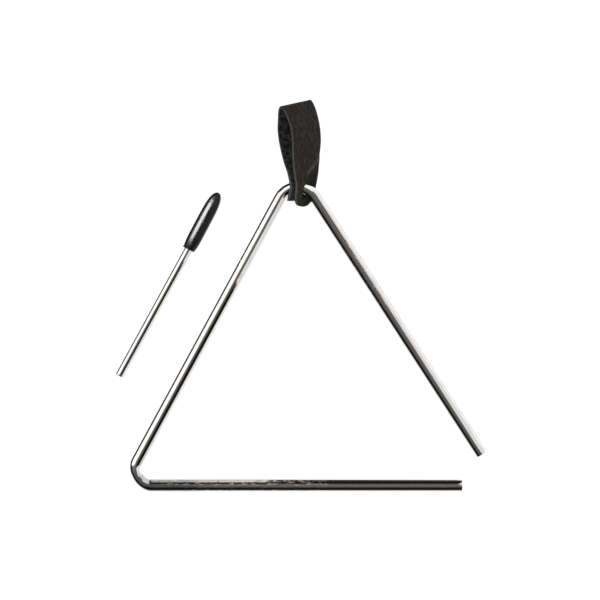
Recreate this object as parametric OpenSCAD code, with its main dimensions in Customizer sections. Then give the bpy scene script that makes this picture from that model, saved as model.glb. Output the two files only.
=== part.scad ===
// Triangle instrument with its leather hanging loop and its beater, laid on a table.
// Millimetres. +X runs along the base side to its free end, +Y from the base to the top
// corner and +Z up from the table. The origin is on the table, under the middle of the set.

/* [Triangle rod] */
// Diameter of the steel rod
rod_d = 7; // [5:0.5:9]
// Closed side, from corner to corner on the rod's centre-line
closed_side = 216.5; // [180:0.5:260]
// Base side, from its corner to its free end
base_side = 203; // [170:0.5:240]
// Open side, from the top corner to its free end
open_side = 204.5; // [170:0.5:212]
// Angle between the sides at both bent corners
corner_angle = 61.5; // [60:0.5:63]
// Centre-line radius of the bend between the base and the closed side
base_bend_r = 10; // [8:0.5:14]
// Centre-line radius of the bend that the loop hangs on
top_bend_r = 12; // [11:0.5:16]
// Rounding of the rod's sawn ends
rod_end_round = 0.4; // [0.2:0.1:1]

/* [Hanging strap] */
// Width of the leather strip
strap_w = 20; // [18:0.5:22]
// Thickness of the leather
strap_t = 1.6; // [1.2:0.1:2]
// Reach of the loop, from the rod's axis to the fold
loop_reach = 50; // [43:0.5:56]
// Opening of the loop between its two panels near the fold
loop_open = 14; // [11:0.5:17]
// Leather below the hole's centre on the front panel, which ends in a rounded tongue
tongue_len = 11.1; // [10:0.5:14]
// Leather below the hole's centre on the back panel, which ends square
tab_len = 7.6; // [7.2:0.1:10]
// How much wider the punched holes are than the rod
hole_slack = 3.6; // [3:0.1:4]
// Gap that the rod keeps from the top of the holes
hole_seat_gap = 0.3; // [0.2:0.05:0.5]
// Space between the two panels where the rod passes through them
panel_gap = 0.9; // [0.7:0.1:1.4]
// Turn of the leather out of the table's plane at the rod
hole_turn = 56; // [54:1:60]
// Place of the loop on the top bend, as an angle from the bend's top to its right
hang_turn = 11; // [8:0.5:13]
// Rise of the fold's line towards its right end, as a slope
fold_slope = 0.216; // [0.1:0.01:0.3]
// Depth of the curves that the leather takes across its width at the rod
pinch_depth = 1.2; // [1:0.1:1.4]
// Distance from the holes over which those curves fade
pinch_reach = 9; // [7:0.5:11]
// Bevel of the leather's cut edges
edge_bevel = 0.4; // [0.2:0.05:0.6]

/* [Beater] */
// Overall length of the beater
beater_len = 125; // [100:0.5:150]
// Diameter of the beater's steel rod
beater_d = 5; // [4:0.5:6.5]
// Rounding of the beater rod's ends
beater_end_round = 0.4; // [0.2:0.1:0.8]
// Length of the grip
grip_len = 38.5; // [30:0.5:50]
// Largest diameter of the grip
grip_d = 8.6; // [7.6:0.1:10]
// Height of the grip's widest place above its open end
grip_belly = 10; // [7:0.5:14]
// How much the grip draws in to its open end, on the radius
grip_draw_in = 0.85; // [0.5:0.05:0.9]
// Rounding of the grip's open end
grip_lip_r = 0.4; // [0.2:0.1:0.5]
// Length of rod inside the grip
grip_cover = 24; // [16:0.5:26]
// How much smaller the grip's bore is than the rod that it is pressed over
grip_squeeze = 0.1; // [0.05:0.01:0.2]
// Lean of the moulded grip to one side of the rod
grip_lean = 0.75; // [0:0.25:1.5]
// Direction of the beater on the table, from the base side's direction
beater_angle = 61.3; // [50:0.1:70]
// Bare end of the beater, across from the base corner
beater_x = -2.8; // [-20:0.1:0]
// Bare end of the beater, up from the base corner
beater_y = 65.7; // [50:0.1:80]

/* [Hidden] */

// Fineness of the round surfaces
round_fn = 48;
// Length by which a cutter runs past what it cuts
overrun = 1;

rod_r = rod_d / 2;
beater_r = beater_d / 2;
grip_r = grip_d / 2;

// Corners of the bent rod in its own plane, from the base corner, which is at [0, 0]
open_dir = 2 * corner_angle - 180;
top_corner = closed_side * [cos(corner_angle), sin(corner_angle)];
open_end = top_corner + open_side * [cos(open_dir), sin(open_dir)];
base_bend_run = base_bend_r / tan(corner_angle / 2);
top_bend_run = top_bend_r / tan(corner_angle / 2);
top_bend_centre = (closed_side - top_bend_run) * [cos(corner_angle), sin(corner_angle)]
    + top_bend_r * [sin(corner_angle), -cos(corner_angle)];
bend_angle = 180 - corner_angle;
closed_run = closed_side - base_bend_run - top_bend_run;

// The leather stands on its right edge, so it lifts the rod's top bend off the table
strap_rise = rest_height(hole_turn);
hang_spot = top_bend_centre + top_bend_r * [sin(hang_turn), cos(hang_turn)];
rod_tilt = asin((strap_rise - rod_r) / hang_spot[1]);
hang_point = [hang_spot[0], hang_spot[1] * cos(rod_tilt), strap_rise];

// The beater rests on the belly of its grip and on the end of its rod
belly_reach = beater_len - grip_len + grip_belly;
beater_tilt = asin((grip_r - beater_r) / belly_reach);
beater_dir = [cos(beater_tilt) * cos(beater_angle), cos(beater_tilt) * sin(beater_angle), sin(beater_tilt)];
beater_end = [beater_x, beater_y, beater_r * cos(beater_tilt)];
bare_len = beater_len - grip_len;

// Height of the leather's middle when it rests on its right edge at a given turn
function rest_height(turn) = strap_w / 2 * sin(turn) + strap_t / 2 * cos(turn);

// Course of the strip's middle line, from the tongue over the fold to the tab. Each row has
// five shares: along (of the reach, or of the tongue's or tab's length), across (of the
// strip's width), lift off the table (of the opening), turn (of the turn at the rod) and
// slope (of the fold's slope).
tongue_shares = [
    [1, -0.08, 0, 0.96, 0],
    [0.67, -0.03, 0, 0.98, 0],
    [0.33, 0.01, 0, 1, 0]
];
front_shares = [
    [0, 0.041, 0, 1, 0],
    [0.1, 0.051, 0.15, 0.891, 0],
    [0.21, 0.051, 0.29, 0.764, 0.05],
    [0.37, 0.049, 0.5, 0.673, 0.15],
    [0.56, 0.066, 0.68, 0.564, 0.3],
    [0.73, 0.022, 0.79, 0.518, 0.5],
    [0.87, -0.074, 0.82, 0.464, 0.75],
    [0.96, -0.169, 0.7, 0.418, 0.95]
];
back_shares = [
    [1, -0.101, 0.36, 0.382, 1],
    [0.96, -0.156, 0.06, 0.345, 1],
    [0.87, -0.166, 0, 0.309, 1],
    [0.73, -0.171, 0, 0.273, 1],
    [0.56, -0.111, 0, 0.245, 0.95],
    [0.37, -0.008, 0, 0.3, 0.85],
    [0.21, 0.075, 0, 0.545, 0.6],
    [0.1, 0.065, 0, 0.8, 0.3],
    [0, 0.02, 0, 1, 0.1]
];
tab_shares = [
    [0.5, -0.01, 0, 0.964, 0.1],
    [1, -0.026, 0, 0.909, 0.2]
];
// Segments of the tongue's course, over which its rounded end is spread
tongue_steps = len(tongue_shares);
tongue_round_share = 0.83;
tongue_round = min(tongue_round_share * tongue_len, strap_w / 2 - 2 * edge_bevel);
panel_step = (strap_t + panel_gap) / sin(hole_turn);
front_x = panel_step / 2;
back_x = -panel_step / 2;

function station(row, middle_x, length) = [
    middle_x + row[1] * strap_w,
    row[0] * length,
    rest_height(row[3] * hole_turn) + row[2] * loop_open,
    row[3] * hole_turn,
    row[4] * fold_slope
];
stations = concat(
    [for (row = tongue_shares) station(row, front_x, -tongue_len)],
    [for (row = front_shares) station(row, front_x, loop_reach)],
    [for (row = back_shares) station(row, back_x, loop_reach)],
    [for (row = tab_shares) station(row, back_x, -tab_len)]
);
last_station = len(stations) - 1;

// Smooth curve through the stations, at a place counted in stations
function near_station(i) = stations[max(0, min(last_station, i))];
function smooth(a, b, c, d, t) = (2 * b + (c - a) * t + (2 * a - 5 * b + 4 * c - d) * t * t
    + (3 * b - a - 3 * c + d) * t * t * t) / 2;
function course(u) = let (i = min(last_station - 1, floor(u)))
    smooth(near_station(i - 1), near_station(i), near_station(i + 1), near_station(i + 2), u - i);
function middle(u) = let (c = course(u)) [c[0], c[1], c[2]];

// Half the strip's width, which shrinks round the tongue's end
function round_loss(d) = d < tongue_round
    ? tongue_round - sqrt(pow(tongue_round, 2) - pow(tongue_round - d, 2))
    : 0;
function half_width(u) = strap_w / 2 - round_loss(u * tongue_len / tongue_steps);

// One ring of points round the strip. Near the holes the section is curved both ways, so that
// the leather is steepest where the rod passes and flatter at its edges.
function unit(v) = v / norm(v);
face_shares = [-1, -0.7, -0.35, 0, 0.35, 0.7, 1];
edge_flat_share = 0.45;
look_ahead_share = 0.05;
function pinch(place, share) = -pinch_depth * exp(-pow(place[1] / pinch_reach, 2)) * sin(180 * share);
function strap_ring(u) = let (
    c = course(u),
    side = unit([cos(c[3]), c[4], -sin(c[3])]),
    ahead = middle(min(last_station, u + look_ahead_share)) - middle(max(0, u - look_ahead_share)),
    out = unit(cross(side, ahead)),
    up = out * sign(out[2]),
    half = half_width(u),
    inner = half - edge_bevel,
    across = [for (s = face_shares) middle(u) + side * s * inner + up * pinch(c, s)],
    last = len(face_shares) - 1
) concat(
    [for (p = across) p + out * strap_t / 2],
    [for (n = [edge_flat_share, -edge_flat_share]) middle(u) + side * half + out * n * strap_t / 2],
    [for (i = [last : -1 : 0]) across[i] - out * strap_t / 2],
    [for (n = [-edge_flat_share, edge_flat_share]) middle(u) - side * half + out * n * strap_t / 2]
);
round_rings = 6;
rings_per_station = 3;
function round_place(i) = tongue_round / tongue_len * tongue_steps * (1 - cos(90 * i / round_rings));
first_whole_ring = ceil(round_place(round_rings) * rings_per_station + 0.5);
ring_places = concat(
    [for (i = [0 : round_rings]) round_place(i)],
    [for (i = [first_whole_ring : last_station * rings_per_station]) i / rings_per_station]
);
ring_count = len(ring_places);
ring_size = 2 * len(face_shares) + 4;
strap_points = [for (u = ring_places) each [for (p = strap_ring(u)) p + hang_point - [0, 0, strap_rise]]];
strap_faces = concat(
    [for (k = [1 : ring_size - 2]) [0, k, k + 1]],
    [for (k = [1 : ring_size - 2]) let (a = (ring_count - 1) * ring_size) [a, a + k + 1, a + k]],
    [for (i = [0 : ring_count - 2], k = [0 : ring_size - 1])
        let (a = i * ring_size + k, b = i * ring_size + (k + 1) % ring_size)
        each [[a, a + ring_size, b], [b, a + ring_size, b + ring_size]]]
);

// The set's outer limits on the table, which set where the base corner is from its middle
beater_side = sqrt(1 - pow(beater_dir[0], 2));
set_left = beater_end[0] + beater_end_round * (beater_dir[0] - 1)
    - (beater_r - beater_end_round) * beater_side;
set_right = open_end[0] + rod_end_round * (1 - cos(open_dir)) - (rod_r - rod_end_round) * sin(open_dir);
set_top = max([for (p = strap_points) p[1]]);
set_bottom = -rod_r;
base_corner = [-(set_left + set_right) / 2, -(set_top + set_bottom) / 2, 0];

// The punched holes hang on the rod by their top edge
hole_r = rod_r + hole_slack / 2;
hole_drop = hole_slack / 2 - hole_seat_gap;

// Steel bar along +X from the origin, with rounded ends where asked
module bar(length, r, rounding, round_start, round_end) {
    start = round_start ? rounding : 0;
    end = round_end ? rounding : 0;
    rotate([0, 90, 0])
        rotate_extrude($fn = round_fn) {
            square([r - rounding, length]);
            translate([0, start])
                square([r, length - start - end]);
            if (round_start)
                translate([r - rounding, rounding])
                    circle(r = rounding, $fn = round_fn);
            if (round_end)
                translate([r - rounding, length - rounding])
                    circle(r = rounding, $fn = round_fn);
        }
}

// Half of space on the side of x = 0 that side names, -1 or 1, and wide enough to cut a bend
module half_space(radius, side) {
    reach = 2 * (radius + rod_d);
    translate([side * reach / 2, 0, 0])
        cube([reach, 2 * reach, 2 * rod_d], center = true);
}

// Bend about the origin: what a full ring keeps beyond the plane where the last side ends,
// with enter -1 or 1 for that plane's kept side, and before the plane where the next begins
module bend(radius, enter, turn) {
    intersection() {
        rotate_extrude($fn = 3 * round_fn)
            translate([radius, 0])
                circle(r = rod_r, $fn = round_fn);
        half_space(radius, enter);
        rotate([0, 0, turn])
            half_space(radius, -1);
    }
}

// The sides are placed one from another, so that each starts exactly where its bend ends
module triangle_rod() {
    color("silver")
        translate(base_corner + [base_bend_run, 0, rod_r])
            rotate([rod_tilt, 0, 0]) {
                bar(base_side - base_bend_run, rod_r, rod_end_round, false, true);
                translate([0, base_bend_r, 0]) {
                    bend(base_bend_r, -1, corner_angle);
                    rotate([0, 0, corner_angle])
                        translate([0, base_bend_r, 0]) {
                            bar(closed_run, rod_r, rod_end_round, false, false);
                            translate([closed_run, -top_bend_r, 0]) {
                                bend(top_bend_r, 1, -bend_angle);
                                rotate([0, 0, -bend_angle])
                                    translate([0, top_bend_r, 0])
                                        bar(open_side - top_bend_run, rod_r, rod_end_round, false, true);
                            }
                        }
                }
            }
}

// One strip of leather, folded into a loop, with both ends punched for the rod
module hanging_strap() {
    color([0.2, 0.18, 0.17])
        difference() {
            translate(base_corner)
                polyhedron(points = strap_points, faces = strap_faces, convexity = 6);
            translate(base_corner + hang_point)
                rotate([rod_tilt, 0, 0])
                    rotate([0, 0, -hang_turn])
                        translate([0, -hole_drop, 0])
                            rotate([0, 90, 0])
                                cylinder(h = strap_w, r = hole_r, center = true, $fn = round_fn);
        }
}

// Puts what is modelled along +X on the beater's axis, with x = 0 at its bare end
module on_beater() {
    translate(base_corner + beater_end)
        rotate([0, -beater_tilt, beater_angle])
            children();
}

module beater_rod() {
    color("silver")
        on_beater()
            bar(bare_len + grip_cover, beater_r, beater_end_round, true, true);
}

bore_r = beater_r - grip_squeeze / 2;

// Radius of the grip at a height above its open end: it draws in below the belly and stays full
// almost to the tip above it
nose_fullness = 6;
function tail_radius(h) = grip_r - grip_draw_in * pow(1 - h / grip_belly, 3);
function nose_radius(share) = grip_r * sqrt(1 - pow(share, nose_fullness));
lip_steps = 4;
tail_steps = 8;
nose_steps = 20;

// Half outline of the grip, from the middle of its open end to its tip
module grip_outline() {
    lip_x = tail_radius(grip_lip_r) - grip_lip_r;
    nose_len = grip_len - grip_belly;
    lip = [for (i = [0 : lip_steps]) let (a = 90 * i / lip_steps)
        [lip_x + grip_lip_r * sin(a), grip_lip_r * (1 - cos(a))]];
    tail = [for (i = [1 : tail_steps]) let (h = grip_lip_r + (grip_belly - grip_lip_r) * i / tail_steps)
        [tail_radius(h), h]];
    nose = [for (i = [1 : nose_steps]) let (s = sin(90 * i / nose_steps))
        [nose_radius(s), grip_belly + nose_len * s]];
    polygon(concat([[0, 0]], lip, tail, nose));
}

module beater_grip() {
    color([0.1, 0.1, 0.1])
        on_beater()
            translate([bare_len, 0, 0])
                difference() {
                    rotate([0, 0, grip_lean])
                        rotate([0, 90, 0])
                            rotate_extrude($fn = 2 * round_fn)
                                grip_outline();
                    translate([-overrun, 0, 0])
                        rotate([0, 90, 0])
                            cylinder(h = grip_cover + overrun, r = bore_r, $fn = round_fn);
                }
}

triangle_rod();
hanging_strap();
beater_rod();
beater_grip();
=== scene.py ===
import bmesh
import bpy
import math
from mathutils import Matrix, Vector, noise


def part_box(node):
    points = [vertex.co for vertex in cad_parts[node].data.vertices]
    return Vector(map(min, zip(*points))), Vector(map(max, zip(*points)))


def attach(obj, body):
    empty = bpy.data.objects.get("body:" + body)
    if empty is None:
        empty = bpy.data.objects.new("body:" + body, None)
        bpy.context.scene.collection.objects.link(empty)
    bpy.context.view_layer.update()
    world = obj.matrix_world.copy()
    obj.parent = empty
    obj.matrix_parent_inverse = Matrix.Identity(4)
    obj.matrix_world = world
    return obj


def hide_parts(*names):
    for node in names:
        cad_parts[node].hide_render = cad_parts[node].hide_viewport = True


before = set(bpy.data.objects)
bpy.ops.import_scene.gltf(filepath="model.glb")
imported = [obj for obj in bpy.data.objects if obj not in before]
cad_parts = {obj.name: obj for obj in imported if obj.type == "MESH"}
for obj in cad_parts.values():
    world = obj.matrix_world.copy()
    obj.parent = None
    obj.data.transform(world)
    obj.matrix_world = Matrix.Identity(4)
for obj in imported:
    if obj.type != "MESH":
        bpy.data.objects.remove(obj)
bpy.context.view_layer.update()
print("frame loaded")

mm = 0.001
fullTurn = 2 * math.pi
sharpAngle = 50              # degrees between two faces from which their edge shows sharp


# small helpers for numbers

def mix(a, b, share):
    return a + (b - a) * share


def softStep(low, high, value):
    t = min(1.0, max(0.0, (value - low) / (high - low)))
    return t * t * (3 - 2 * t)


def heading(degrees):
    a = math.radians(degrees)
    return Vector((math.cos(a), math.sin(a), 0))


# helpers for meshes

def plainPiece(name, points, faces):
    mesh = bpy.data.meshes.new(name)
    mesh.from_pydata([tuple(p) for p in points], [], faces)
    piece = bpy.data.objects.new(name, mesh)
    bpy.context.scene.collection.objects.link(piece)
    return piece


def finishedPiece(name, points, faces, cornerPlaces, mapName, faceKinds, materials):
    piece = plainPiece(name, points, faces)
    mesh = piece.data
    uvLayer = mesh.uv_layers.new(name=mapName)
    for polygon, places, kind in zip(mesh.polygons, cornerPlaces, faceKinds):
        polygon.material_index = kind
        for loopIndex, place in zip(polygon.loop_indices, places):
            uvLayer.data[loopIndex].uv = place
    for material in materials:
        mesh.materials.append(material)
    mesh.shade_smooth()
    mesh.set_sharp_from_angle(angle=math.radians(sharpAngle))
    return piece


def skinRings(name, rings, lengths, widths, mapName, kindOf, materials):
    # closed skin over a row of rings, with a fan at each end; widths are the places across
    count = len(rings[0])
    points = [p for ring in rings for p in ring]
    faces = []
    places = []
    kinds = []
    for i in range(len(rings) - 1):
        for k in range(count):
            a = i * count + k
            b = i * count + (k + 1) % count
            faces.append((a, b, b + count, a + count))
            places.append(((lengths[i], widths[k]), (lengths[i], widths[k + 1]),
                           (lengths[i + 1], widths[k + 1]), (lengths[i + 1], widths[k])))
            kinds.append(kindOf(i, k))
    for i, flip in ((0, True), (len(rings) - 1, False)):
        middle = len(points)
        points.append(sum(rings[i], Vector((0, 0, 0))) / count)
        for k in range(count):
            a = i * count + k
            b = i * count + (k + 1) % count
            faces.append((b, a, middle) if flip else (a, b, middle))
            corner = ((lengths[i], widths[k + 1]), (lengths[i], widths[k]))
            corner = corner if flip else corner[::-1]
            places.append(corner + ((lengths[i], widths[0]),))
            kinds.append(kindOf(i, k))
    return finishedPiece(name, points, faces, places, mapName, kinds, materials)


# helpers for materials

def setInput(socket, value):
    # a number or colour is set, and another node's output is linked
    if isinstance(value, bpy.types.NodeSocket):
        socket.id_data.links.new(value, socket)
    else:
        socket.default_value = value


def setInputs(node, values):
    for key, value in values.items():
        setInput(node.inputs[key], value)


def addNode(tree, kind, **settings):
    # a setting is an input, with underscores for its spaces, or else the node's own
    node = tree.nodes.new(kind)
    for key, value in settings.items():
        inputName = key.replace("_", " ")
        if inputName in node.inputs:
            setInput(node.inputs[inputName], value)
        else:
            setattr(node, key, value)
    return node


def newMaterial(name, values):
    material = bpy.data.materials.new(name)
    material.use_nodes = True
    tree = material.node_tree
    tree.nodes.clear()
    shader = tree.nodes.new("ShaderNodeBsdfPrincipled")
    setInputs(shader, values)
    addNode(tree, "ShaderNodeOutputMaterial", Surface=shader.outputs["BSDF"])
    return material, tree, shader


def newGroup(name, numbers, outputs):
    # every group takes a place and some numbers, and puts out numbers
    group = bpy.data.node_groups.new(name, "ShaderNodeTree")
    group.interface.new_socket(name="Vector", in_out="INPUT", socket_type="NodeSocketVector")
    for socketName, value in numbers.items():
        socket = group.interface.new_socket(name=socketName, in_out="INPUT", socket_type="NodeSocketFloat")
        socket.default_value = value
    for socketName in outputs:
        group.interface.new_socket(name=socketName, in_out="OUTPUT", socket_type="NodeSocketFloat")
    start = group.nodes.new("NodeGroupInput")
    end = group.nodes.new("NodeGroupOutput")
    return group, start.outputs, end


def placeGroup(tree, group, **values):
    return addNode(tree, "ShaderNodeGroup", node_tree=group, **values)


def mathNode(tree, operation, *values, kind="ShaderNodeMath"):
    node = addNode(tree, kind, operation=operation)
    for place, value in enumerate(values):
        setInput(node.inputs[place], value)
    return node.outputs[0]


def times(tree, *values):
    product = values[0]
    for value in values[1:]:
        product = mathNode(tree, "MULTIPLY", product, value)
    return product


def rampNode(tree, factor, stops):
    node = addNode(tree, "ShaderNodeValToRGB", Fac=factor)
    elements = node.color_ramp.elements
    while len(elements) < len(stops):
        elements.new(0.5)
    for element, (place, colour) in zip(elements, stops):
        element.position = place
        element.color = (*colour, 1)
    return node.outputs["Color"]


def tones(tree, value, look):
    # from a look's first colour to its second, over its range of values
    return rampNode(tree, value, list(zip(look["range"], look["colours"])))


def blend(tree, under, over, share):
    # one colour covered by another
    node = addNode(tree, "ShaderNodeMix", data_type="RGBA", Factor=share)
    for key, colour in (("A", under), ("B", over)):
        setInput(node.inputs[key], (*colour, 1) if isinstance(colour, tuple) else colour)
    return node.outputs["Result"]


def grey(value):
    return (value, value, value)


def mapPlace(tree, mapName, scale=(1, 1, 1)):
    # place on a piece's own map, in metres, scaled along and across
    source = addNode(tree, "ShaderNodeUVMap", uv_map=mapName)
    return addNode(tree, "ShaderNodeMapping", Vector=source.outputs["UV"], Scale=scale).outputs["Vector"]


def mapParts(tree, mapName, origin=(0, 0), turn=0.0):
    # the map's two coordinates, measured from an origin along a turned line
    source = addNode(tree, "ShaderNodeUVMap", uv_map=mapName)
    mapping = addNode(tree, "ShaderNodeMapping", vector_type="TEXTURE", Vector=source.outputs["UV"],
                      Location=(*origin, 0), Rotation=(0, 0, turn))
    parts = addNode(tree, "ShaderNodeSeparateXYZ", Vector=mapping.outputs["Vector"])
    return parts.outputs["X"], parts.outputs["Y"]


def softEdge(tree, value, low, high):
    # 0 at low and 1 at high, either way round
    edge = addNode(tree, "ShaderNodeMapRange", interpolation_type="SMOOTHSTEP", Value=value,
                   From_Min=low, From_Max=high)
    return edge.outputs["Result"]


def stretch(tree, value, begin, end, fade):
    # 1 between two places, fading at both
    return times(tree, softEdge(tree, value, begin, begin + fade), softEdge(tree, value, end, end - fade))


def bumpNode(tree, height, strength, distance, under=None):
    node = addNode(tree, "ShaderNodeBump", Height=height, Strength=strength, Distance=distance)
    if under is not None:
        setInput(node.inputs["Normal"], under)
    return node.outputs["Normal"]


# effects shared by several finishes

def makeMottle():
    # slow uneven patches, for polish, plating and dye that vary over a surface
    group, given, end = newGroup("mottle", {"Scale": 200.0, "Low": 0.4, "High": 0.6}, ["Mask"])
    patches = addNode(group, "ShaderNodeTexNoise", Vector=given["Vector"], Scale=given["Scale"],
                      Detail=5.0, Roughness=0.6, Distortion=0.3)
    setInputs(end, {"Mask": softEdge(group, patches.outputs["Fac"], given["Low"], given["High"])})
    return group


grainShape = {
    "bendScale": 400.0,
    "bend": (0.8 * mm, 0.8 * mm, 0.8 * mm),
    "domeTop": 0.22,         # where a pebble levels off
    "domeSoft": 0.2,
    "domeHeight": 4.0,
    "creaseSteep": 9.0,
    "creaseSoft": 0.3,
}


def makeGrain():
    # pebbles between fine creases, as on the hair side of leather
    group, given, end = newGroup(
        "leatherGrain", {"Pebble Scale": 1500.0, "Crease Scale": 300.0, "Crease Amount": 0.4},
        ["Height", "Crease"])
    bend = addNode(group, "ShaderNodeTexNoise", Vector=given["Vector"], Scale=grainShape["bendScale"],
                   Detail=3.0)
    bent = mathNode(group, "MULTIPLY_ADD", bend.outputs["Color"], grainShape["bend"], given["Vector"],
                    kind="ShaderNodeVectorMath")
    pebbles = addNode(group, "ShaderNodeTexVoronoi", feature="DISTANCE_TO_EDGE", Vector=bent,
                      Scale=given["Pebble Scale"])
    domes = mathNode(group, "SMOOTH_MIN", pebbles.outputs["Distance"], grainShape["domeTop"],
                     grainShape["domeSoft"])
    creases = addNode(group, "ShaderNodeTexNoise", Vector=bent, Scale=given["Crease Scale"],
                      Detail=6.0, Roughness=0.65)
    fold = mathNode(group, "ABSOLUTE", mathNode(group, "SUBTRACT", creases.outputs["Fac"], 0.5))
    line = mathNode(group, "SMOOTH_MIN", times(group, fold, grainShape["creaseSteep"]), 1.0,
                    grainShape["creaseSoft"])
    deep = times(group, mathNode(group, "SUBTRACT", line, 1.0), given["Crease Amount"])
    high = times(group, domes, grainShape["domeHeight"])
    setInputs(end, {"Height": mathNode(group, "ADD", high, deep),
                    "Crease": mathNode(group, "SUBTRACT", 1.0, line)})
    return group


def makeScratches():
    # long hairlines on a piece's own map, which lie a little off its length
    group, given, end = newGroup("hairlines", {"Scale": 900.0, "Stretch": 0.02}, ["Height"])
    squeeze = addNode(group, "ShaderNodeCombineXYZ", X=given["Stretch"], Y=1, Z=1)
    placed = mathNode(group, "MULTIPLY", given["Vector"], squeeze.outputs["Vector"],
                      kind="ShaderNodeVectorMath")
    lines = addNode(group, "ShaderNodeTexNoise", Vector=placed, Scale=given["Scale"], Detail=4.0,
                    Roughness=0.7)
    setInputs(end, {"Height": lines.outputs["Fac"]})
    return group


mottle = makeMottle()
leatherGrain = makeGrain()
hairlines = makeScratches()
print("shared effects made")


# finishes; each look has its colours, the range of values between them and depths in metres

chromeLook = {
    "colours": ((0.88, 0.875, 0.87), (0.66, 0.645, 0.625)),   # clear and clouded
    "range": (0.3, 0.95),
    "cloudShare": 0.3,
    "shine": 0.03,
    "smudge": 0.07,
    "hairline": 0.0000008,
    "ripple": 0.000004,
    "rippleLie": (0.45, 1, 1),
    "scuff": 0.00007,
    "scuffLie": (0.3, 1, 1),
    "scuffFade": 20 * mm,
    "tarnish": (0.42, 0.425, 0.44),
    "tarnishStreaks": (0.68, 0.4),
    "tarnishFade": 8 * mm,
}
rodMarks = {
    "knocked": [(0.07, 0.19), (0.43, 0.5)],   # stretches from the base side's free end
    "darkened": [(0.155, 0.202)],
}


def makeChrome(name, mapName, scuffs, tarnished):
    # stretches along the rod where the plating is knocked, and where it has darkened
    material, tree, shader = newMaterial(name, {"Metallic": 1.0, "IOR": 2.5})
    place = mapPlace(tree, mapName)
    along = mapParts(tree, mapName)[0]
    patches = placeGroup(tree, mottle, Vector=place, Scale=160.0, Low=0.5, High=0.72).outputs["Mask"]
    streaks = placeGroup(tree, hairlines, Vector=place, Scale=1300.0, Stretch=0.1).outputs["Height"]
    cloud = mathNode(tree, "MULTIPLY_ADD", patches, chromeLook["cloudShare"], streaks)
    tint = tones(tree, cloud, chromeLook)
    for begin, end in tarnished:
        where = times(tree, stretch(tree, along, begin, end, chromeLook["tarnishFade"]),
                      softEdge(tree, streaks, *chromeLook["tarnishStreaks"]))
        tint = blend(tree, tint, chromeLook["tarnish"], where)
    rough = mathNode(tree, "MULTIPLY_ADD", patches, chromeLook["smudge"] - chromeLook["shine"],
                     chromeLook["shine"])
    scratches = placeGroup(tree, hairlines, Vector=place, Scale=2600.0, Stretch=0.03)
    ripples = placeGroup(tree, mottle, Vector=mapPlace(tree, mapName, chromeLook["rippleLie"]),
                         Scale=260.0, Low=0.3, High=0.7)
    normal = bumpNode(tree, scratches.outputs["Height"], 1.0, chromeLook["hairline"])
    normal = bumpNode(tree, ripples.outputs["Mask"], 1.0, chromeLook["ripple"], normal)
    knocks = placeGroup(tree, mottle, Vector=mapPlace(tree, mapName, chromeLook["scuffLie"]),
                        Scale=850.0, Low=0.5, High=0.8)
    for begin, end in scuffs:
        where = stretch(tree, along, begin, end, chromeLook["scuffFade"])
        height = times(tree, knocks.outputs["Mask"], where)
        normal = bumpNode(tree, height, 1.0, chromeLook["scuff"], normal)
    setInputs(shader, {"Base Color": tint, "Roughness": rough, "Normal": normal})
    return material


sawnLook = {
    "colours": (grey(0.38), grey(0.6)),
    "range": (0, 1),
    "lie": (1, 0.7, 0.3),
    "bump": 0.6,
    "depth": 0.00003,
}


def makeSawnEnd():
    # plated over the saw's marks, so it is duller than the drawn surface
    material, tree, shader = newMaterial("sawnEndFinish", {"Metallic": 1.0, "Roughness": 0.3})
    source = tree.nodes.new("ShaderNodeTexCoord")
    place = addNode(tree, "ShaderNodeMapping", Vector=source.outputs["Object"], Scale=sawnLook["lie"])
    marks = addNode(tree, "ShaderNodeTexWave", Vector=place.outputs["Vector"], Scale=700.0,
                    Distortion=3.0, Detail=2.0).outputs["Fac"]
    setInputs(shader, {"Base Color": tones(tree, marks, sawnLook),
                       "Normal": bumpNode(tree, marks, sawnLook["bump"], sawnLook["depth"])})
    return material


strapMarks = {
    "creaseStart": (29.1 * mm, 9.5 * mm),   # along from the tongue and across from the middle
    "creaseEnd": (18.3 * mm, -1 * mm),
    "creaseWidth": 2 * mm,
    "creaseHeight": 0.35 * mm,
    "highlightBefore": 2 * mm,  # the painted highlight begins this far before the ridge
    "highlightFade": 3 * mm,
    "shadeBefore": 1 * mm,   # painted shade on the fold below it
    "shadePast": 6 * mm,
    "shadeFade": 4 * mm,
    "holePlace": (9.9 * mm, 0),
    "rodShadowReach": 12 * mm,     # reach of the painted shadow of the rod round the front hole
    "holeSide": (-7 * mm, -1 * mm),   # places across the hole between which the painted shadow grows
}
creaseWay = Vector(strapMarks["creaseEnd"]) - Vector(strapMarks["creaseStart"])

leatherLook = {
    "colours": ((0.0300, 0.0262, 0.0215), (0.050, 0.043, 0.0355)),   # dyed and worn
    "range": (0, 1),
    # painted shade, for the grain's creases and the fold below the ridge
    "paintedShade": (0.0085, 0.0072, 0.0058),
    "paintedShadeShare": 0.7,
    # painted highlight for the fold's ridge, and the streaks that break it up
    "folded": (0.105, 0.093, 0.082),
    "highlightBreakup": (0.25, 0.7),
    # painted shadow of the rod round the front hole
    "rodShadow": (0.002, 0.0018, 0.0015),
    "rodShadowShare": 0.85,
    "lie": (0.4, 1, 1),
    "wearPatches": 0.4,
    "wearStreaks": 1.6,
    "wearBase": -0.55,
    "rough": 0.52,
    "creaseRough": 0.2,
    "shine": 0.1,
    "bump": 0.8,
    "depth": 0.00007,
}


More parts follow.
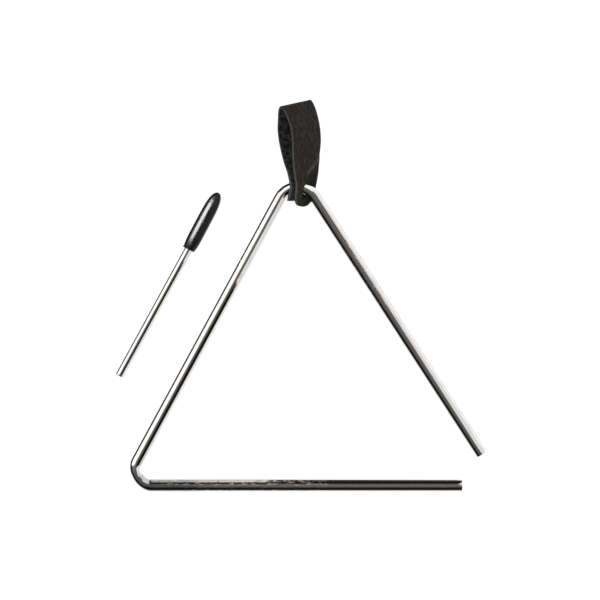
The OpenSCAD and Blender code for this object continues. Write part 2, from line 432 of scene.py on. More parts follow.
def creaseMasks(tree, mapName):
    # painted highlight along the fold's ridge and painted shade below it
    far, off = mapParts(tree, mapName, strapMarks["creaseStart"], math.atan2(creaseWay.y, creaseWay.x))
    width = strapMarks["creaseWidth"]
    paintedHighlightLine = times(tree, softEdge(tree, mathNode(tree, "ABSOLUTE", off), width, 0),
                  stretch(tree, far, -strapMarks["highlightBefore"], creaseWay.length,
                          strapMarks["highlightFade"]))
    paintedShadeBelow = times(tree, softEdge(tree, off, 0, -2 * width),
                  stretch(tree, far, -strapMarks["shadeBefore"], creaseWay.length + strapMarks["shadePast"],
                          strapMarks["shadeFade"]))
    return paintedHighlightLine, paintedShadeBelow


def rodShadowMask(tree, mapName):
    # painted shadow of the rod on one side of the front hole
    along, across = mapParts(tree, mapName, strapMarks["holePlace"])
    squares = mathNode(tree, "ADD", times(tree, along, along), times(tree, across, across))
    away = mathNode(tree, "SQRT", squares)
    shadowReach = strapMarks["rodShadowReach"]
    return times(tree, softEdge(tree, away, shadowReach, shadowReach / 2), softEdge(tree, across, *strapMarks["holeSide"]))


def makeLeather(mapName):
    material, tree, shader = newMaterial("leatherFinish", {"Specular IOR Level": leatherLook["shine"]})
    place = mapPlace(tree, mapName, leatherLook["lie"])
    grain = placeGroup(tree, leatherGrain, Vector=place, Pebble_Scale=1300.0, Crease_Scale=420.0,
                       Crease_Amount=0.45).outputs
    patches = placeGroup(tree, mottle, Vector=place, Scale=70.0, Low=0.3, High=0.8).outputs["Mask"]
    streaks = placeGroup(tree, hairlines, Vector=mapPlace(tree, mapName), Scale=1600.0,
                         Stretch=0.25).outputs["Height"]
    wear = mathNode(tree, "MULTIPLY_ADD", patches, leatherLook["wearPatches"],
                    mathNode(tree, "MULTIPLY_ADD", streaks, leatherLook["wearStreaks"],
                             leatherLook["wearBase"]))
    paintedHighlightLine, paintedShadeBelow = creaseMasks(tree, mapName)
    # painted shade in the grain's creases and on the fold below the ridge
    paintedShadeMask = times(tree, mathNode(tree, "MAXIMUM", paintedShadeBelow, grain["Crease"]), leatherLook["paintedShadeShare"])
    tint = blend(tree, tones(tree, wear, leatherLook), leatherLook["paintedShade"], paintedShadeMask)
    # painted shadow of the rod round the front hole
    tint = blend(tree, tint, leatherLook["rodShadow"],
                 times(tree, rodShadowMask(tree, mapName), leatherLook["rodShadowShare"]))
    # painted highlight along the fold's ridge, broken up by streaks
    highlightBreakup = softEdge(tree, streaks, *leatherLook["highlightBreakup"])
    tint = blend(tree, tint, leatherLook["folded"], times(tree, paintedHighlightLine, highlightBreakup))
    rough = mathNode(tree, "MULTIPLY_ADD", grain["Crease"], leatherLook["creaseRough"],
                     leatherLook["rough"])
    normal = bumpNode(tree, grain["Height"], leatherLook["bump"], leatherLook["depth"])
    setInputs(shader, {"Base Color": tint, "Roughness": rough, "Normal": normal})
    return material


suedeLook = {
    "colours": (grey(0.0004), (0.058, 0.058, 0.057)),
    "range": (0.12, 0.68),
    "napBetween": 0.25,      # how much of the nap shows between the tufts
    "bump": 0.9,
    "depth": 0.00025,
}


def makeSuede(mapName):
    # the flesh side, rough and tufted
    material, tree, shader = newMaterial("suedeFinish", {
        "Roughness": 0.9, "Specular IOR Level": 0.2, "Sheen Weight": 0.12, "Sheen Roughness": 0.5})
    place = mapPlace(tree, mapName)
    nap = addNode(tree, "ShaderNodeTexNoise", Vector=place, Scale=2200.0, Detail=6.0,
                  Roughness=0.75).outputs["Fac"]
    tufts = placeGroup(tree, mottle, Vector=place, Scale=480.0, Low=0.4, High=0.62).outputs["Mask"]
    both = times(tree, nap, mathNode(tree, "ADD", tufts, suedeLook["napBetween"]))
    height = mathNode(tree, "ADD", nap, tufts)
    setInputs(shader, {"Base Color": tones(tree, both, suedeLook),
                       "Normal": bumpNode(tree, height, suedeLook["bump"], suedeLook["depth"])})
    return material


cutLook = {
    "colours": ((0.045, 0.043, 0.041), (0.125, 0.119, 0.113)),
    "range": (0.3, 0.7),
    "lie": (0.5, 1, 1),
    "bump": 0.8,
    "depth": 0.0001,
}


def makeCutEdge(mapName):
    material, tree, shader = newMaterial("cutEdgeFinish", {"Roughness": 0.8, "Specular IOR Level": 0.25})
    fibres = addNode(tree, "ShaderNodeTexNoise", Vector=mapPlace(tree, mapName, cutLook["lie"]),
                     Scale=3200.0, Detail=5.0, Roughness=0.7).outputs["Fac"]
    setInputs(shader, {"Base Color": tones(tree, fibres, cutLook),
                       "Normal": bumpNode(tree, fibres, cutLook["bump"], cutLook["depth"])})
    return material


vinylLook = {
    "colours": ((0.0055, 0.0058, 0.0054), (0.0105, 0.0107, 0.0098)),   # moulded and handled
    "range": (0, 1),
    "shine": 0.26,
    "dull": 0.32,
    "bump": 0.4,
    "depth": 0.000008,
}


def makeVinyl(mapName):
    material, tree, shader = newMaterial("vinylFinish", {"Specular IOR Level": 0.22})
    place = mapPlace(tree, mapName)
    patches = placeGroup(tree, mottle, Vector=place, Scale=220.0, Low=0.35, High=0.75).outputs["Mask"]
    rough = mathNode(tree, "MULTIPLY_ADD", patches, vinylLook["dull"] - vinylLook["shine"],
                     vinylLook["shine"])
    peel = addNode(tree, "ShaderNodeTexNoise", Vector=place, Scale=500.0, Detail=2.0)
    normal = bumpNode(tree, peel.outputs["Fac"], vinylLook["bump"], vinylLook["depth"])
    tint = tones(tree, patches, vinylLook)
    setInputs(shader, {"Base Color": tint, "Roughness": rough, "Normal": normal})
    return material


rodMap = "rodMap"
stripMap = "stripMap"
gripMap = "gripMap"
rodChrome = makeChrome("rodChromeFinish", rodMap, rodMarks["knocked"], rodMarks["darkened"])
beaterChrome = makeChrome("beaterChromeFinish", rodMap, [], [])
sawnEnd = makeSawnEnd()
leather = makeLeather(stripMap)
suede = makeSuede(stripMap)
cutEdge = makeCutEdge(stripMap)
vinyl = makeVinyl(gripMap)
print("finishes made")


# the bent rod

rod = {
    "radius": 3.5 * mm,
    "baseSide": 203 * mm,
    "closedSide": 216.5 * mm,
    "openSide": 204.5 * mm,
    "cornerAngle": 61.5,
    "baseBend": 10 * mm,
    "topBend": 12 * mm,
    "endRound": 0.4 * mm,
    "around": 64,
    "step": 4 * mm,          # between rings on the straight sides
    "bendStep": 3,           # degrees between rings in a bend
    "baseFlat": 0.8 * mm,    # how much the outside of each bend is drawn flat
    "topFlat": 0.12 * mm,
    "flatSpread": 0.45,      # share of the bend over which the flattening grows from either end
    "flatSharpness": 3,      # how fast it fades round the rod
}

strip = {
    "width": 20 * mm,
    "thick": 1.6 * mm,
    "reach": 50 * mm,        # from the rod's axis to the fold
    "open": 14 * mm,         # between the panels near the fold
    "tongue": 11.1 * mm,     # below the front hole
    "tab": 7.6 * mm,         # below the back hole
    "holeSlack": 3.6 * mm,
    "seatGap": 0.3 * mm,
    "panelGap": 0.9 * mm,
    "holeTurn": 56,          # out of the table's plane at the rod
    "hangTurn": 11,
    "foldSlope": 0.216,
    "pinchDepth": 1.2 * mm,  # curves across the width at the rod
    "pinchReach": 9 * mm,
    "bevel": 0.4 * mm,
    "tongueRoundShare": 0.83,
}
strip["tongueRound"] = min(strip["tongueRoundShare"] * strip["tongue"],
                           strip["width"] / 2 - 2 * strip["bevel"])


def restHeight(turn):
    a = math.radians(turn)
    return strip["width"] / 2 * math.sin(a) + strip["thick"] / 2 * math.cos(a)


# places in the rod's own plane, which is turned about the base side
bendRun = {name: rod[name] / math.tan(math.radians(rod["cornerAngle"] / 2))
           for name in ("baseBend", "topBend")}
bendTurn = 180 - rod["cornerAngle"]
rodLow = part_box("triangle_rod")[0]
cornerX = rodLow.x - (bendRun["baseBend"] - rod["baseBend"] - rod["radius"])
baseCorner = Vector((cornerX, rodLow.y + rod["radius"], rod["radius"]))
closedWay = heading(rod["cornerAngle"])
openWay = heading(rod["cornerAngle"] - bendTurn)
topCentre = (closedWay * (rod["closedSide"] - bendRun["topBend"])
             + heading(rod["cornerAngle"] - 90) * rod["topBend"])
hangSpot = topCentre + heading(90 - strip["hangTurn"]) * rod["topBend"]
rodTilt = math.asin((restHeight(strip["holeTurn"]) - rod["radius"]) / hangSpot.y)
tilted = Matrix.Rotation(rodTilt, 3, "X")


def onRodPlane(place):
    return baseCorner + tilted @ place


def straightStops(start, way, length, turn):
    # a stop has its place, the way along, that way's turn and the depth of the flat
    count = max(2, round(length / rod["step"]))
    return [(start + way * (length * i / count), way, turn, 0.0) for i in range(1, count + 1)]


def bendStops(centre, radius, fromTurn, turned, flatness):
    # clockwise, so the outside of the bend is on the left of the way along
    count = round(turned / rod["bendStep"])
    stops = []
    for i in range(1, count + 1):
        turn = fromTurn - turned * i / count
        flatDepth = flatness * softStep(0, rod["flatSpread"], 0.5 - abs(i / count - 0.5))
        stops.append((centre + heading(turn + 90) * radius, heading(turn), turn, flatDepth))
    return stops


def rodStops():
    freeEnd = Vector((rod["baseSide"], 0, 0))
    left = heading(180)
    stops = [(freeEnd, left, 180.0, 0.0)]
    stops += straightStops(freeEnd, left, rod["baseSide"] - bendRun["baseBend"], 180.0)
    baseCentre = Vector((bendRun["baseBend"], rod["baseBend"], 0))
    stops += bendStops(baseCentre, rod["baseBend"], 180.0, bendTurn, rod["baseFlat"])
    closedRun = rod["closedSide"] - bendRun["baseBend"] - bendRun["topBend"]
    stops += straightStops(stops[-1][0], closedWay, closedRun, rod["cornerAngle"])
    stops += bendStops(topCentre, rod["topBend"], rod["cornerAngle"], bendTurn, rod["topFlat"])
    stops += straightStops(stops[-1][0], openWay, rod["openSide"] - bendRun["topBend"],
                           rod["cornerAngle"] - bendTurn)
    return stops


endSteps = 5
endFaceShares = (0.86, 0.6, 0.3)


def bevelRings(radius, rounding):
    flat = radius - rounding
    rings = [(0.0, flat * share) for share in sorted(endFaceShares)]
    for i in range(endSteps + 1):
        a = math.pi / 2 * i / endSteps
        rings.append((rounding * (1 - math.cos(a)), flat + rounding * math.sin(a)))
    return rings


def sweepRod(name, stops, radius, rounding, place, materials):
    around = rod["around"]
    rings = []
    lengths = []
    distance = 0.0

    def addRing(centre, turn, ringRadius, flatDepth, length):
        left = heading(turn + 90)
        ring = []
        for k in range(around):
            a = fullTurn * k / around
            outside = max(0.0, math.cos(a))
            reach = ringRadius - flatDepth * outside ** rod["flatSharpness"]
            ring.append(place(centre + left * (reach * math.cos(a)) + Vector((0, 0, reach * math.sin(a)))))
        rings.append(ring)
        lengths.append(length)

    ends = bevelRings(radius, rounding)
    centre, way, turn = stops[0][:3]
    for inset, ringRadius in ends:
        addRing(centre + way * inset, turn, ringRadius, 0.0, inset)
    last = centre
    for centre, way, turn, flatDepth in stops[1:-1]:
        distance += (centre - last).length
        last = centre
        addRing(centre, turn, radius, flatDepth, distance)
    centre, way, turn = stops[-1][:3]
    distance += (centre - last).length
    for inset, ringRadius in reversed(ends):
        addRing(centre - way * inset, turn, ringRadius, 0.0, distance - inset)
    widths = [fullTurn * radius * k / around for k in range(around + 1)]
    faceRings = len(endFaceShares)

    def kindOf(i, k):
        return 1 if i < faceRings or i >= len(rings) - 1 - faceRings else 0

    return skinRings(name, rings, lengths, widths, rodMap, kindOf, materials)


triangle = sweepRod("triangleRodShown", rodStops(), rod["radius"], rod["endRound"], onRodPlane,
                    [rodChrome, sawnEnd])
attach(triangle, "triangle")
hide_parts("triangle_rod")
print("bent rod made")


# the leather loop: one strip from the tongue over the fold to the tab
# each row has the shares along, across, lift, turn and slope

tongueRows = [(1, -0.08, 0, 0.96, 0), (0.67, -0.03, 0, 0.98, 0), (0.33, 0.01, 0, 1, 0)]
frontRows = [(0, 0.041, 0, 1, 0), (0.1, 0.051, 0.15, 0.891, 0), (0.21, 0.051, 0.29, 0.764, 0.05),
             (0.37, 0.049, 0.5, 0.673, 0.15), (0.56, 0.066, 0.68, 0.564, 0.3),
             (0.73, 0.022, 0.79, 0.518, 0.5), (0.87, -0.074, 0.82, 0.464, 0.75),
             (0.96, -0.169, 0.7, 0.418, 0.95)]
backRows = [(1, -0.101, 0.36, 0.382, 1), (0.96, -0.156, 0.06, 0.345, 1), (0.87, -0.166, 0, 0.309, 1),
            (0.73, -0.171, 0, 0.273, 1), (0.56, -0.111, 0, 0.245, 0.95), (0.37, -0.008, 0, 0.3, 0.85),
            (0.21, 0.075, 0, 0.545, 0.6), (0.1, 0.065, 0, 0.8, 0.3), (0, 0.02, 0, 1, 0.1)]
tabRows = [(0.5, -0.01, 0, 0.964, 0.1), (1, -0.026, 0, 0.909, 0.2)]

panelStep = (strip["thick"] + strip["panelGap"]) / math.sin(math.radians(strip["holeTurn"]))
hangPoint = Vector((baseCorner.x + hangSpot.x, baseCorner.y + hangSpot.y * math.cos(rodTilt),
                    restHeight(strip["holeTurn"])))


def station(row, middleX, length):
    along, across, lift, turnShare, slopeShare = row
    turn = turnShare * strip["holeTurn"]
    return (middleX + across * strip["width"], along * length, restHeight(turn) + lift * strip["open"],
            turn, slopeShare * strip["foldSlope"])


stations = ([station(row, panelStep / 2, -strip["tongue"]) for row in tongueRows]
            + [station(row, panelStep / 2, strip["reach"]) for row in frontRows]
            + [station(row, -panelStep / 2, strip["reach"]) for row in backRows]
            + [station(row, -panelStep / 2, -strip["tab"]) for row in tabRows])
lastStation = len(stations) - 1
tongueSteps = len(tongueRows)


def courseAt(u):
    # smooth curve through the stations, at a place counted in stations
    i = min(lastStation - 1, int(u))
    t = u - i
    a, b, c, d = [stations[max(0, min(lastStation, i + k))] for k in (-1, 0, 1, 2)]
    return [(2 * q + (r - p) * t + (2 * p - 5 * q + 4 * r - s) * t * t
             + (3 * q - p - 3 * r + s) * t ** 3) / 2
            for p, q, r, s in zip(a, b, c, d)]


def middleAt(u):
    return Vector(courseAt(u)[:3])


def halfWidthAt(u):
    rounded = strip["tongueRound"]
    d = u * strip["tongue"] / tongueSteps
    if d >= rounded:
        return strip["width"] / 2
    return strip["width"] / 2 - (rounded - math.sqrt(rounded ** 2 - (rounded - d) ** 2))


stripDetail = {
    "acrossSteps": 26,
    "edgeSteps": 3,
    "step": 0.05,            # stations between rings
    "roundRings": 16,
    "lookAhead": 0.05,
    "wave": 0.12 * mm,       # uneven lie of the leather
    "waveScale": 95,
    "waveAcross": 0.9,
    "waveOn": 0.35,          # change of the wave from station to station
    "calm": (0.2, 0.5),      # shares of the reach between which the wave grows
}


def stripProfile():
    # points round the strip's section: share across, edge inset share and share of the half thickness
    profile = []
    across = stripDetail["acrossSteps"]
    edge = stripDetail["edgeSteps"]
    for side in (1, -1):
        for i in range(across + 1):
            profile.append((side * (2 * i / across - 1), 0.0, side))
        for i in range(1, 2 * edge):
            a = math.pi * i / (2 * edge)
            profile.append((side, math.sin(a), side * math.cos(a)))
    return profile


profile = stripProfile()
cutEdgePlace = 2             # of the cut edge among the loop's materials
acrossCount = stripDetail["acrossSteps"] + 1
edgeCount = 2 * stripDetail["edgeSteps"] - 1


def pinchAt(y, share):
    # the leather is curved both ways near the holes, steepest where the rod passes
    return -strip["pinchDepth"] * math.exp(-(y / strip["pinchReach"]) ** 2) * math.sin(math.pi * share)


def creaseAt(length, reach):
    # the ridge of the fold that runs down to the front hole
    start = Vector(strapMarks["creaseStart"])
    far = (Vector((length, reach)) - start).dot(creaseWay) / creaseWay.length_squared
    near = start + creaseWay * min(1.0, max(0.0, far))
    off = (Vector((length, reach)) - near).length / strapMarks["creaseWidth"]
    return strapMarks["creaseHeight"] * math.exp(-off * off)


def stripRing(u, length):
    c = courseAt(u)
    turn = math.radians(c[3])
    side = Vector((math.cos(turn), c[4], -math.sin(turn))).normalized()
    lookAhead = stripDetail["lookAhead"]
    ahead = middleAt(min(lastStation, u + lookAhead)) - middleAt(max(0, u - lookAhead))
    out = side.cross(ahead).normalized()
    up = out * math.copysign(1, out.z)
    inner = halfWidthAt(u) - strip["bevel"]
    centre = Vector(c[:3]) + hangPoint - Vector((0, 0, restHeight(strip["holeTurn"])))
    calm = softStep(*stripDetail["calm"], abs(c[1]) / strip["reach"])
    ring = []
    for share, bulge, lift in profile:
        reach = share * inner + (strip["bevel"] * bulge if share > 0 else -strip["bevel"] * bulge)
        wave = noise.noise(Vector((c[1] * stripDetail["waveScale"], share * stripDetail["waveAcross"],
                                   u * stripDetail["waveOn"])))
        ring.append(centre + side * reach + up * (pinchAt(c[1], share) + creaseAt(length, reach))
                    + out * (lift * strip["thick"] / 2 + wave * stripDetail["wave"] * calm))
    return ring


def stripPlaces():
    places = []
    for i in range(stripDetail["roundRings"] + 1):
        share = 1 - math.cos(math.pi / 2 * i / stripDetail["roundRings"])
        places.append(strip["tongueRound"] / strip["tongue"] * tongueSteps * share)
    u = places[-1]
    while u < lastStation - stripDetail["step"]:
        u += stripDetail["step"]
        places.append(u)
    places[-1] = lastStation
    return places


def stripKind(i, k):
    # hair side, flesh side or cut edge, the same in every ring
    if k < acrossCount - 1:
        return 0
    if acrossCount + edgeCount <= k < 2 * acrossCount + edgeCount - 1:
        return 1
    return cutEdgePlace


def makeStrap():
    places = stripPlaces()
    lengths = [0.0]
    for a, b in zip(places[:-1], places[1:]):
        lengths.append(lengths[-1] + (middleAt(b) - middleAt(a)).length)
    rings = [stripRing(u, length) for u, length in zip(places, lengths)]
    widths = [point[0] * strip["width"] / 2 for point in profile]
    widths.append(widths[0])
    return skinRings("hangingStrapShown", rings, lengths, widths, stripMap, stripKind,
                     [leather, suede, cutEdge])


hole = {
    "radius": rod["radius"] + strip["holeSlack"] / 2,
    "around": 96,
    "merge": 0.0002 * mm,    # corners nearer than this become one
    "wallNear": 0.05 * mm,   # faces this near the punch's side belong to the wall
    "wallAside": 0.2,        # and face at most this share along the punch
}


def makePunch(centre, way, down):
    upright = way.cross(down)
    n = hole["around"]
    points = []
    for end in (-1, 1):
        for k in range(n):
            a = fullTurn * k / n
            reach = (down * math.cos(a) + upright * math.sin(a)) * hole["radius"]
            points.append(centre + way * (end * strip["width"] / 2) + reach)
    faces = [(k, (k + 1) % n, n + (k + 1) % n, n + k) for k in range(n)]
    faces += [tuple(reversed(range(n))), tuple(range(n, 2 * n))]
    return plainPiece("punch", points, faces)


def cleanCut(mesh):
    # the cut leaves a few faces that enclose nothing
    shape = bmesh.new()
    shape.from_mesh(mesh)
    bmesh.ops.remove_doubles(shape, verts=shape.verts, dist=hole["merge"])
    bmesh.ops.triangulate(shape, faces=[face for face in shape.faces if len(face.verts) > 4])
    sameCorners = {}
    for face in shape.faces:
        sameCorners.setdefault(frozenset(face.verts), []).append(face)
    flaps = [face for faces in sameCorners.values() if len(faces) > 1 for face in faces]
    bmesh.ops.delete(shape, geom=flaps, context="FACES")
    shape.to_mesh(mesh)
    shape.free()


def punchHoles(piece):
    drop = strip["holeSlack"] / 2 - strip["seatGap"]
    way = tilted @ heading(-strip["hangTurn"])
    down = tilted @ heading(-strip["hangTurn"] - 90)
    centre = hangPoint + down * drop
    punch = makePunch(centre, way, down)
    cut = piece.modifiers.new("punched", "BOOLEAN")
    cut.operation = "DIFFERENCE"
    cut.solver = "EXACT"
    cut.object = punch
    bpy.context.view_layer.update()
    cutMesh = bpy.data.meshes.new_from_object(piece.evaluated_get(bpy.context.evaluated_depsgraph_get()))
    piece.modifiers.clear()
    piece.data = cutMesh
    bpy.data.objects.remove(punch)
    cleanCut(cutMesh)
    for polygon in cutMesh.polygons:
        away = polygon.center - centre
        away -= way * away.dot(way)
        near = abs(away.length - hole["radius"]) < hole["wallNear"]
        if near and abs(polygon.normal.dot(way)) < hole["wallAside"]:
            polygon.material_index = cutEdgePlace
    cutMesh.set_sharp_from_angle(angle=math.radians(sharpAngle))


strap = makeStrap()
punchHoles(strap)
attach(strap, "strap")
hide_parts("hanging_strap")
print("leather loop made")


# the beater

beater = {
    "length": 125 * mm,
    "radius": 2.5 * mm,
    "endRound": 0.4 * mm,
    "steps": 30,             # between rings along its rod
    "gripLength": 38.5 * mm,
    "gripRadius": 4.3 * mm,
    "belly": 10 * mm,        # height of the widest place
    "drawIn": 0.85 * mm,     # towards the open end
    "noseFullness": 6,
    "lip": 0.4 * mm,
    "cover": 24 * mm,
    "lean": 0.75,
    "angle": 61.3,
    "endX": -2.8 * mm,
    "endY": 65.7 * mm,
}
bellyReach = beater["length"] - beater["gripLength"] + beater["belly"]
beaterTilt = math.asin((beater["gripRadius"] - beater["radius"]) / bellyReach)
beaterEnd = Vector((baseCorner.x + beater["endX"], baseCorner.y + beater["endY"],
                    beater["radius"] * math.cos(beaterTilt)))
beaterTurn = (Matrix.Rotation(math.radians(beater["angle"]), 3, "Z")
              @ Matrix.Rotation(-beaterTilt, 3, "Y"))


def onBeater(place):
    return beaterEnd + beaterTurn @ place


bareLength = beater["length"] - beater["gripLength"]
rodEnd = bareLength + beater["cover"]
beaterStops = [(Vector((rodEnd * i / beater["steps"], 0, 0)), Vector((1, 0, 0)), 0.0, 0.0)
               for i in range(beater["steps"] + 1)]
beaterRod = sweepRod("beaterRodShown", beaterStops, beater["radius"], beater["endRound"], onBeater,
                     [beaterChrome, sawnEnd])
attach(beaterRod, "beater")
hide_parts("beater_rod")

gripDetail = {
    "around": 96,
    "noseSteps": 44,
    "tailSteps": 18,
    "lipSteps": 6,
    "seam": 0.05 * mm,       # height of the moulding line along both sides
    "seamWidth": 4,          # degrees round the grip
    "boreDepth": 6 * mm,
    "boreRings": 3,
    "boreGap": 0.01 * mm,
    "partings": (19 * mm, 31.5 * mm),   # where the mould's parts met
    "partingDepth": 0.05 * mm,
    "partingWidth": 0.35 * mm,
    "flash": 0.7 * mm,       # nib left at the mould's gate
    "flashLength": 0.9 * mm,
    "flashWidth": 11,        # degrees round the grip
}


def gripProfile():
    # height above the open end and radius, from inside the bore over the lip to the tip
    full = beater["gripRadius"]
    belly = beater["belly"]
    lip = beater["lip"]
    bore = beater["radius"] + gripDetail["boreGap"]

    def tailRadius(height):
        return full - beater["drawIn"] * (1 - height / belly) ** 3

    def noseRadius(share):
        return full * math.sqrt(1 - share ** beater["noseFullness"])

    mouth = tailRadius(lip) - lip
    line = [(gripDetail["boreDepth"], bore), (lip, bore), (0.0, bore)]
    for i in range(gripDetail["lipSteps"]):
        a = math.pi / 2 * i / gripDetail["lipSteps"]
        line.append((lip * (1 - math.cos(a)), mouth + lip * math.sin(a)))
    for i in range(gripDetail["tailSteps"]):
        height = mix(lip, belly, i / gripDetail["tailSteps"])
        line.append((height, tailRadius(height)))
    for i in range(gripDetail["noseSteps"]):
        share = math.sin(math.pi / 2 * i / gripDetail["noseSteps"])
        height = mix(belly, beater["gripLength"], share)
        line.append((height, noseRadius(share)))
    for parting in gripDetail["partings"]:
        for offset in (-1, -0.5, 0, 0.5, 1):
            height = parting + offset * gripDetail["partingWidth"]
            share = (height - belly) / (beater["gripLength"] - belly)
            line.append((height, noseRadius(share) - gripDetail["partingDepth"] * (1 - abs(offset))))
    rings = gripDetail["boreRings"]
    return line[:rings] + sorted(line[rings:], key=lambda place: place[0])


def makeGrip():
    around = gripDetail["around"]
    lean = Matrix.Rotation(math.radians(beater["lean"]), 3, "Z")
    line = gripProfile()
    rings = []
    lengths = []
    length = 0.0
    last = line[0]
    for index, (height, radius) in enumerate(line):
        length += math.hypot(height - last[0], radius - last[1])
        last = (height, radius)
        lengths.append(length)
        ring = []
        inBore = index < gripDetail["boreRings"]
        for k in range(around):
            a = fullTurn * k / around
            off = min(abs(math.degrees(a) - s) for s in (0, 180, 360))
            ridge = 0 if inBore else gripDetail["seam"] * max(0.0, 1 - (off / gripDetail["seamWidth"]) ** 2)
            left = min(math.degrees(a), 360 - math.degrees(a))
            nib = 0 if inBore else gripDetail["flash"] * max(0.0, 1 - left / gripDetail["flashWidth"]) * max(
                0.0, 1 - height / gripDetail["flashLength"])
            reach = radius + ridge * min(1.0, radius / beater["gripRadius"]) + nib
            place = Vector((height, reach * math.cos(a), reach * math.sin(a)))
            place = place if inBore else lean @ place
            ring.append(onBeater(place + Vector((bareLength, 0, 0))))
        rings.append(ring)
    widths = [fullTurn * beater["gripRadius"] * k / around for k in range(around + 1)]
    return skinRings("beaterGripShown", rings, lengths, widths, gripMap, lambda i, k: 0, [vinyl])


grip = makeGrip()
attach(grip, "beater")
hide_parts("beater_grip")
print("beater made")


# the studio: table, camera, white cards and tent

studio = {
    "imageWidth": 600,
    "mmPerPixel": 0.6,
    "cornerPixelX": 124.1,   # the base corner on the photograph
    "cornerPixelY": 485.5,
    "cameraHeight": 3.0,
    "sensor": 36,
    "tableReach": 3.0,
    "tableGlow": 0.95,
    "tablePaint": 0.12,
    "cameraEnd": 20,         # the camera sees no farther, in metres
    "firstMirror": 1.5,      # between the first mirroring of a ray and the second
    "mirroredGrey": 0.04,    # what one bright surface shows of another
}


def makeTable():
    reach = studio["tableReach"]
    corners = [(-reach, -reach, 0), (reach, -reach, 0), (reach, reach, 0), (-reach, reach, 0)]
    table = plainPiece("tableTop", corners, [(0, 1, 2, 3)])
    finish = newMaterial("tableFinish", {
        "Base Color": (*grey(studio["tablePaint"]), 1), "Roughness": 0.9, "Specular IOR Level": 0.0,
        "Emission Color": (1, 1, 1, 1), "Emission Strength": studio["tableGlow"]})[0]
    table.data.materials.append(finish)
    table.visible_glossy = False
    table.visible_diffuse = False


makeTable()


def makeCamera():
    camera = bpy.data.cameras.new("camera")
    holder = bpy.data.objects.new("camera", camera)
    bpy.context.scene.collection.objects.link(holder)
    half = studio["imageWidth"] / 2
    pixel = studio["mmPerPixel"] * mm
    x = baseCorner.x + (half - studio["cornerPixelX"]) * pixel
    y = baseCorner.y + (studio["cornerPixelY"] - half) * pixel
    holder.location = (x, y, studio["cameraHeight"] + rod["radius"])
    camera.sensor_width = studio["sensor"]
    camera.lens = studio["sensor"] * studio["cameraHeight"] / (studio["imageWidth"] * pixel)
    camera.clip_end = studio["cameraEnd"]
    bpy.context.scene.camera = holder


makeCamera()


def makeCard(name, corners, brightness, reach=None):
    # white card that only reflections see, bright where its corners turn anticlockwise;
    # reach is how far away its light is still seen
    card = plainPiece(name, corners, [tuple(range(len(corners)))])
    material = bpy.data.materials.new(name + "Finish")
    material.use_nodes = True
    tree = material.node_tree
    tree.nodes.clear()
    glow = addNode(tree, "ShaderNodeEmission", Color=(1, 1, 1, 1), Strength=brightness)
    clear = tree.nodes.new("ShaderNodeBsdfTransparent")
    hidden = tree.nodes.new("ShaderNodeNewGeometry").outputs["Backfacing"]
    if reach is not None:
        rays = tree.nodes.new("ShaderNodeLightPath")
        beyond = mathNode(tree, "GREATER_THAN", rays.outputs["Ray Length"], reach)
        hidden = mathNode(tree, "MAXIMUM", hidden, beyond)
    pick = addNode(tree, "ShaderNodeMixShader", Fac=hidden)
    setInput(pick.inputs[1], glow.outputs["Emission"])
    setInput(pick.inputs[2], clear.outputs["BSDF"])
    addNode(tree, "ShaderNodeOutputMaterial", Surface=pick.outputs["Shader"])
    card.data.materials.append(material)
    card.visible_camera = False
    card.visible_diffuse = False
    card.visible_shadow = False


cards = {
    "power": 0.85,
    "rightHeight": 0.42,     # overhead panel at the right
    "rightStart": (0.137, -0.114),
    "rightNearTurn": 60.6,
    "rightLowTurn": -30,
    "rightReach": 2.5,
    "topPlace": 1.0,         # standing panel beyond the loop
    "topEdge": -0.0275,
    "topReach": 0.25,
    "topHeight": 0.4,
    "topDepth": -1.2,        # it goes on below the table, which reflections pass
    "besideGap": 0.02,       # small card beside the beater
    "besideHeight": 0.0166,
    "besideStart": -10 * mm,   # along the beater from its bare end
    "lampAway": 0.07,        # bright narrow window over the grip
    "lampNear": 18,          # degrees from straight up, seen from the grip's axis
    "lampFar": 66,
    "lampStart": 0.5 * mm,   # along the grip from its open end
    "lampPast": 0.012,       # it goes on past the grip's tip
    "lampPower": 50,
    "lampReach": 0.076,      # farther things don't mirror it
}


def makeCards():
    start = Vector((*cards["rightStart"], cards["rightHeight"]))
    near = heading(cards["rightNearTurn"]) * cards["rightReach"]
    low = heading(cards["rightLowTurn"]) * cards["rightReach"]
    makeCard("rightCard", [start, start + near, start + near + low, start + low],
             cards["power"])
    y = cards["topPlace"]
    edge = cards["topEdge"]
    far = edge - cards["topReach"]
    top = cards["topHeight"]
    deep = cards["topDepth"]
    makeCard("topCard", [(far, y, deep), (edge, y, deep), (edge, y, top), (far, y, top)], cards["power"])
    away = heading(beater["angle"] - 90) * cards["besideGap"]
    foot = onBeater(Vector((cards["besideStart"], 0, 0))) + away
    end = onBeater(Vector((bareLength, 0, 0))) + away
    foot.z = end.z = 0
    rise = Vector((0, 0, cards["besideHeight"]))
    makeCard("besideCard", [end, foot, foot + rise, end + rise], cards["power"])

    def lampPoint(along, fromUp):
        a = math.radians(fromUp)
        out = heading(beater["angle"] + 90) * math.sin(a) + Vector((0, 0, math.cos(a)))
        return onBeater(Vector((along, 0, 0))) + out * cards["lampAway"]

    mouth = bareLength + cards["lampStart"]
    past = beater["length"] + cards["lampPast"]
    makeCard("gripLamp", [lampPoint(mouth, cards["lampFar"]), lampPoint(past, cards["lampFar"]),
                          lampPoint(past, cards["lampNear"]), lampPoint(mouth, cards["lampNear"])],
             cards["lampPower"], cards["lampReach"])


makeCards()

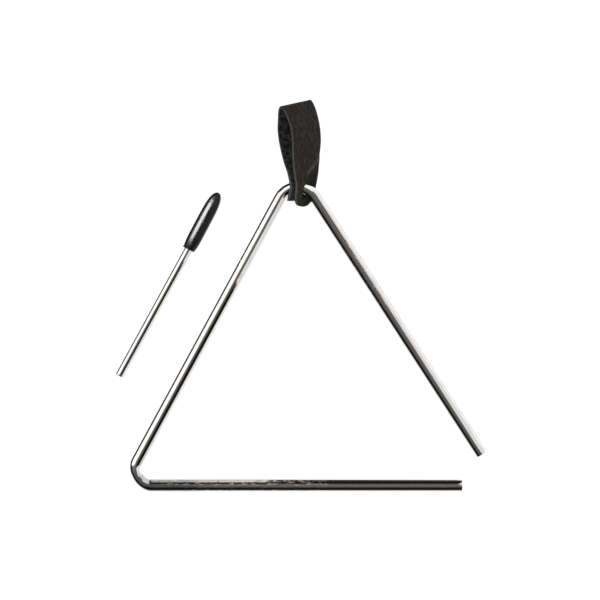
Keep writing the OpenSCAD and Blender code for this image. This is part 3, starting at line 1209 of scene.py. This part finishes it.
# tent panels: azimuth, half width, angles from straight up over which each begins and ends, brightness
panels = [
    (151.5, 42, (11, 31), (90, 99), 1.35),
    (143, 52, (89, 97), (180, 190), 0.03),
    (119, 18, (68, 80), (180, 190), 0.02),
    (88, 10, (90, 100), (110, 128), 0.03),
    (33, 38, (38, 48), (180, 190), 1.15),
    (33, 30, (128, 150), (180, 190), 0.45),
    (-28.5, 30, (8, 22), (66, 82), 0.008),
    (-28.5, 30, (66, 82), (180, 190), 1.0),
    (3, 16, (20, 32), (180, 190), 1.35),
    (62, 12, (20, 32), (180, 190), 1.2),
    (-147, 32, (16, 24), (50, 58), 0.1),
    (-142, 38, (54, 62), (106, 124), 0.008),
]
panelSoft = 8                # degrees over which a panel's sides fade
tentShades = [               # bare tent, by degrees from straight up
    (0, (0.172, 0.155, 0.142)), (22, (0.14, 0.127, 0.116)), (44, grey(0.02)), (52, grey(0.01)),
    (100, grey(0.01)), (119, grey(0.85)), (180, grey(0.9))]
roomShades = [               # light on what isn't mirrored, by shares of the half turn
    (0, grey(1.5)), (0.4, grey(0.5)), (0.5, grey(0.25)), (0.62, grey(0.1))]
leastFlat = 0.000001         # keeps a division away from zero


def makeWorld():
    world = bpy.data.worlds.new("studioTent")
    bpy.context.scene.world = world
    world.use_nodes = True
    tree = world.node_tree
    tree.nodes.clear()
    way = tree.nodes.new("ShaderNodeTexCoord").outputs["Generated"]
    parts = addNode(tree, "ShaderNodeSeparateXYZ", Vector=way).outputs
    fromTop = times(tree, mathNode(tree, "ARCCOSINE", parts["Z"]), 180 / math.pi)
    level = mathNode(tree, "SUBTRACT", 1.0, times(tree, parts["Z"], parts["Z"]))
    flat = mathNode(tree, "SQRT", mathNode(tree, "MAXIMUM", level, leastFlat))
    down = mathNode(tree, "DIVIDE", fromTop, 180.0)
    tent = rampNode(tree, down, [(degrees / 180, shade) for degrees, shade in tentShades])
    for azimuth, half, begins, ends, brightness in panels:
        a = math.radians(azimuth)
        ahead = mathNode(tree, "ADD", times(tree, parts["X"], math.cos(a)),
                         times(tree, parts["Y"], math.sin(a)))
        turned = mathNode(tree, "DIVIDE", ahead, flat)
        widest = math.cos(math.radians(half + panelSoft))
        sides = softEdge(tree, turned, widest, math.cos(math.radians(half)))
        mask = times(tree, sides, softEdge(tree, fromTop, *begins), softEdge(tree, fromTop, *reversed(ends)))
        tent = blend(tree, tent, grey(brightness), mask)
    rays = tree.nodes.new("ShaderNodeLightPath").outputs
    first = mathNode(tree, "LESS_THAN", rays["Glossy Depth"], studio["firstMirror"])
    seen = blend(tree, grey(studio["mirroredGrey"]), tent, first)
    light = blend(tree, rampNode(tree, down, roomShades), seen, rays["Is Glossy Ray"])
    background = addNode(tree, "ShaderNodeBackground", Color=light)
    addNode(tree, "ShaderNodeOutputWorld", Surface=background.outputs["Background"])


makeWorld()
bpy.context.scene.view_settings.view_transform = "Standard"
print("studio made")
